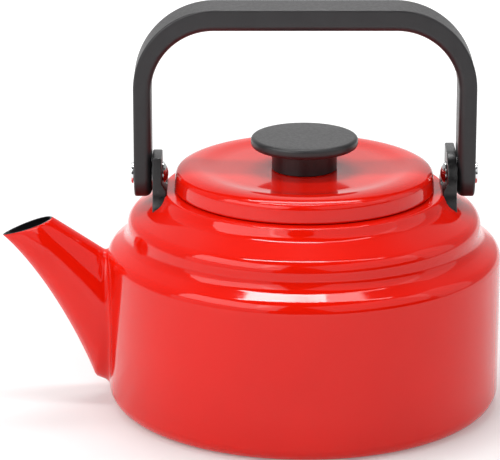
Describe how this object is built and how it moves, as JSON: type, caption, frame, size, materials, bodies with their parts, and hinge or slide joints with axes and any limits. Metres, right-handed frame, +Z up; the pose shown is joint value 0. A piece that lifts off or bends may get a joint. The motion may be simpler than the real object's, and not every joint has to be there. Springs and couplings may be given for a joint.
{
  "type": "stovetop kettle",
  "caption": "Enamelled stovetop kettle: round stepped body, short angled spout, lift-off lid with a disc knob, and a squared bail handle that folds down on two pivots",
  "frame": {"origin": "centre of the flat base, on the surface the kettle stands on", "axes": "+Z up along the body's axis, spout towards -X, bail hinge along X, so +Y is the far side"},
  "size_m": [0.2345, 0.185, 0.1906],
  "materials": {
    "enamel_red": "glossy red vitreous enamel on steel",
    "enamel_black": "glossy black vitreous enamel on steel",
    "black_resin": "matte black moulded heat-resistant resin",
    "bright_steel": "polished",
    "washer_steel": "brushed",
    "brass_insert": "machined",
    "gasket": "matte"
  },
  "bodies": {
    "kettle": {"body_shell": "enamel_red", "base_pan": "enamel_red", "spout": "enamel_red", "spout_side_lug_tab": "enamel_red", "far_side_lug_tab": "enamel_red", "spout_side_lug_cover": "black_resin", "far_side_lug_cover": "black_resin", "spout_side_pivot_screw": "bright_steel", "far_side_pivot_screw": "bright_steel", "spout_side_domed_nut": "bright_steel", "far_side_domed_nut": "bright_steel", "spout_side_friction_washer": "washer_steel", "far_side_friction_washer": "washer_steel", "spout_side_tension_washer": "washer_steel", "far_side_tension_washer": "washer_steel"},
    "handle": {"handle_grip": "black_resin", "spout_side_arm_bush": "washer_steel", "far_side_arm_bush": "washer_steel"},
    "lid": {"lid_shell": "enamel_red", "lid_skirt": "enamel_black", "knob": "black_resin", "knob_insert": "brass_insert", "knob_screw": "bright_steel", "knob_screw_washer": "bright_steel", "knob_gasket": "gasket"}
  },
  "joints": [
    {"name": "handle_hinge", "type": "hinge", "parent": "kettle", "child": "handle", "pos_m": [0, 0, 0.1102], "axis": [1, 0, 0], "range_deg": [-90, 90]},
    {"name": "lid_lift", "type": "slide", "parent": "kettle", "child": "lid", "axis": [0, 0, 1], "range_m": [0, 0.048]}
  ]
}
